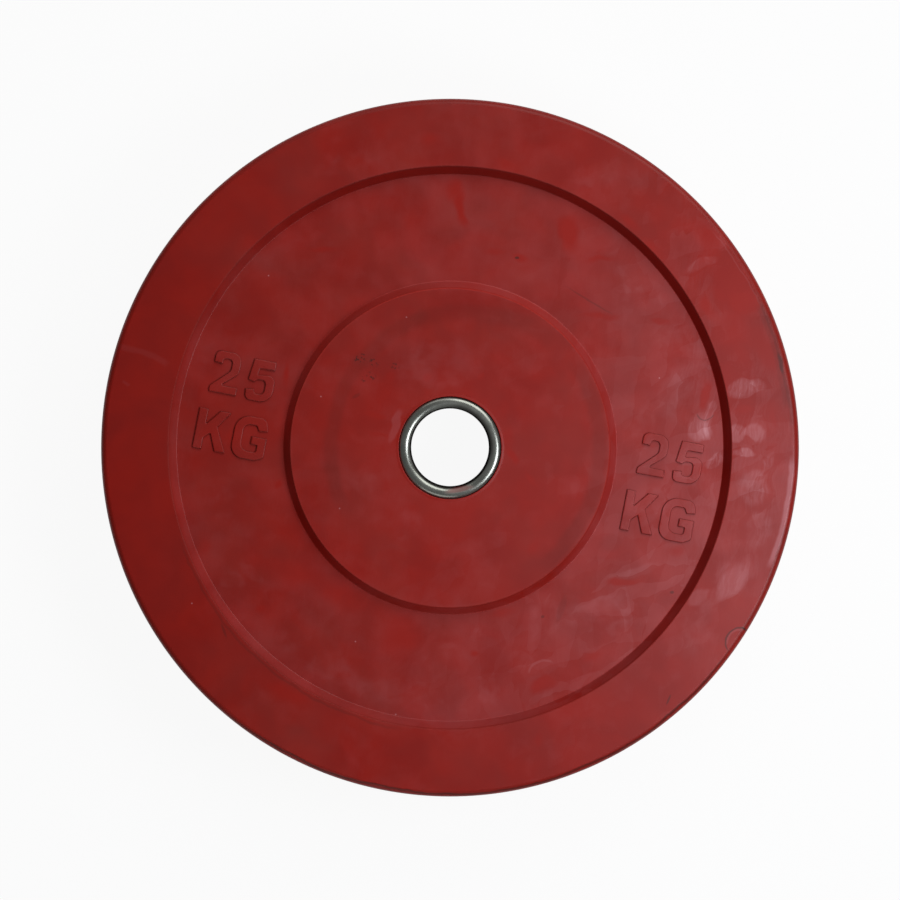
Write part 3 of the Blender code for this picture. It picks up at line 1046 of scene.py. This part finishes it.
disc_finish, start = new_finish("blasted_plate_steel")
place = plate_place(start)
scale_left = clouds(pushed(place, 0.02, 0.005), 0.011, detail=5.0, roughness=0.65)
pitted = clouds(place, PIT_SIZE, detail=3.0)
bare = (scale_left + pitted.swing(0.4)).rise(0.40, 0.62)
bump = start.node("Bump", {}, {"Height": pitted, "Strength": 0.5, "Distance": PIT_DEPTH})
shader = start.node(
    "BsdfPrincipled",
    {},
    {
        "Base Color": bare.between(MILL_SCALE, BLASTED_STEEL),
        "Roughness": 0.42 + bare * 0.18,
        "Metallic": 0.5 + bare * 0.5,
        "Normal": bump,
    },
)
start.node("OutputMaterial", {}, {"Surface": shader})
for disc_name in ANCHOR_DISCS:
    wear(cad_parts[disc_name], disc_finish)
print(f"{disc_finish.name}: {len(disc_finish.node_tree.nodes)} nodes")

# %% [markdown]
# ## The studio
#
# The plate lies on a pale floor that runs out of the picture. To the camera the floor is nearly
# pure white, as a background should be, but it still has to receive the plate's shadow and bounce
# light as paper does. Light Path tells the two apart: where the camera, or a mirror-like ray, sees
# the floor, most of the answer is a white glow, and all other light meets the paper.

# %% The pale floor
FLOOR_SIZE = 40
FLOOR_DROP = 0.0002
GLOW_SHARE = 0.93

bpy.ops.object.select_all(action="DESELECT")
bpy.ops.mesh.primitive_plane_add(size=FLOOR_SIZE, location=(0, 0, -FLOOR_DROP))
floor = bpy.context.object
floor.name = "studio_floor"
floor_finish, start = new_finish("pale_floor")
seen = start.node("LightPath", output="Is Camera Ray") + start.node("LightPath", output="Is Glossy Ray")
seen = seen + start.node("LightPath", output="Is Transmission Ray")
paper = start.node("BsdfDiffuse", {}, {"Color": (0.85, 0.85, 0.85, 1)})
white = start.node("Emission", {}, {"Color": (1, 1, 1, 1), "Strength": 1.0})
shader = start.node("MixShader", {}, {0: seen * GLOW_SHARE, 1: paper, 2: white})
start.node("OutputMaterial", {}, {"Surface": shader})
wear(floor, floor_finish)
print(f"floor {FLOOR_SIZE} m across, just under the plate")

# %% [markdown]
# Four round softboxes light it. Each is placed by its bearing round the plate and its lean from the
# vertical, and looks at the middle of the upper face. The broad key comes from the upper right, so
# the walls that face away from it go dark and draw the rings. A small near panel hangs close over
# the right side, where the photo is palest, and gives the steel lip its bright line. The fill and
# the low panel open up the shadows from the far and the near side, and the room adds a little light
# from everywhere.

# %% Four softboxes and the room
WORLD_LIGHT = 0.09
COOL_WHITE = (0.94, 0.97, 1.05)


def softbox(name, bearing_degrees, lean_degrees, distance, size, watts, colour=(1, 1, 1)):
    """A round lamp of this width, this far from the middle of the upper face."""
    bearing, lean = math.radians(bearing_degrees), math.radians(lean_degrees)
    outwards = math.sin(lean)
    towards = Vector((outwards * math.cos(bearing), outwards * math.sin(bearing), math.cos(lean)))
    bpy.ops.object.light_add(type="AREA", location=Vector((0, 0, THICKNESS)) + towards * distance)
    lamp = bpy.context.object
    lamp.name = name
    lamp.rotation_euler = towards.to_track_quat("Z", "Y").to_euler()
    lamp.data.shape = "DISK"
    lamp.data.size = size
    lamp.data.energy = watts
    lamp.data.color = colour
    lamp.visible_camera = False
    print(f"{name}: {watts} W from {bearing_degrees} degrees, {lean_degrees} degrees off the vertical")


softbox("key_softbox", 60, 48, 1.6, 1.2, 10.8)
softbox("near_panel", -17, 34, 0.8, 0.4, 3.5, COOL_WHITE)
softbox("fill_panel", 100, 60, 1.2, 0.8, 1.4)
softbox("low_panel", 255, 60, 1.2, 0.8, 1.5)
world = bpy.data.worlds.new("studio_room")
bpy.context.scene.world = world
world.use_nodes = True
background = world.node_tree.nodes["Background"]
background.inputs["Color"].default_value = (1, 1, 1, 1)
background.inputs["Strength"].default_value = WORLD_LIGHT

# %% [markdown]
# The photo was taken from almost straight above. How much of the bore's wall shows, and how wide
# the slanted walls look, tell how far away: about two and a half metres above the upper face. The
# lens follows from that distance and from the width of the picture at the plate.

# %% The camera over the plate
CAMERA_RISE = 2.54
CAMERA_NORTH = 0.012
VIEW_WIDTH = 0.5786
AIM = Vector((0.0, -0.0014, THICKNESS))

bpy.ops.object.camera_add(location=AIM + Vector((0, CAMERA_NORTH, CAMERA_RISE)))
camera = bpy.context.object
camera.name = "camera_over_plate"
camera.rotation_euler = (-math.atan2(CAMERA_NORTH, CAMERA_RISE), 0, 0)
camera.data.lens = camera.data.sensor_width * CAMERA_RISE / VIEW_WIDTH
bpy.context.scene.camera = camera
bpy.context.scene.view_settings.view_transform = "Standard"
print(f"{camera.data.lens:.0f} mm lens, {CAMERA_RISE} m above the plate")
